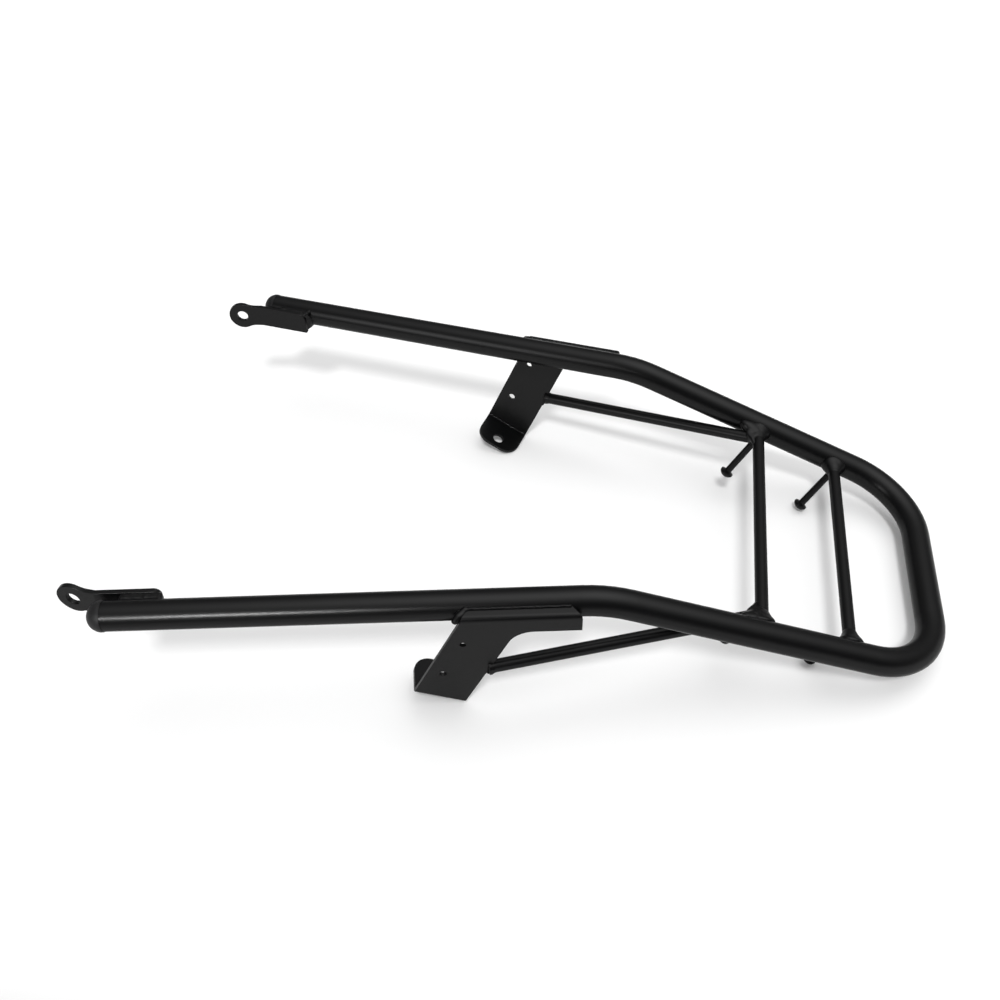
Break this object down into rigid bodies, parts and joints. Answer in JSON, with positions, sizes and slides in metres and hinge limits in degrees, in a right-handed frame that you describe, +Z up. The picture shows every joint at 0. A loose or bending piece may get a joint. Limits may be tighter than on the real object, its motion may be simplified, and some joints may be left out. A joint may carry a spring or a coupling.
{
  "type": "motorcycle luggage rack",
  "caption": "Welded tube luggage rack for a motorcycle's tail: a cranked hoop with crossbars, braces, folded mounting brackets, front eyes and lashing hooks.",
  "frame": {"origin": "on the floor, under the middle of the rack's box", "axes": "+X to the rear of the motorcycle, +Y to its right, +Z up"},
  "size_m": [0.6534, 0.4262, 0.1172],
  "materials": {
    "powder_coat": "satin",
    "cap_plastic": "matte"
  },
  "bodies": {
    "root": {"brace_left": "powder_coat", "brace_right": "powder_coat", "crossbar_front": "powder_coat", "crossbar_rear": "powder_coat", "end_cap_left": "cap_plastic", "end_cap_right": "cap_plastic", "front_tab_left": "powder_coat", "front_tab_right": "powder_coat", "hook_front_left": "powder_coat", "hook_front_right": "powder_coat", "hook_rear_left": "powder_coat", "hook_rear_right": "powder_coat", "main_hoop": "powder_coat", "mid_bracket_left": "powder_coat", "mid_bracket_right": "powder_coat", "weld_brace_left": "powder_coat", "weld_brace_right": "powder_coat", "weld_bracket_left": "powder_coat", "weld_bracket_right": "powder_coat", "weld_front_joint_left": "powder_coat", "weld_front_joint_right": "powder_coat", "weld_rear_joint_left": "powder_coat", "weld_rear_joint_right": "powder_coat", "weld_tab_left": "powder_coat", "weld_tab_right": "powder_coat"}
  },
  "joints": []
}
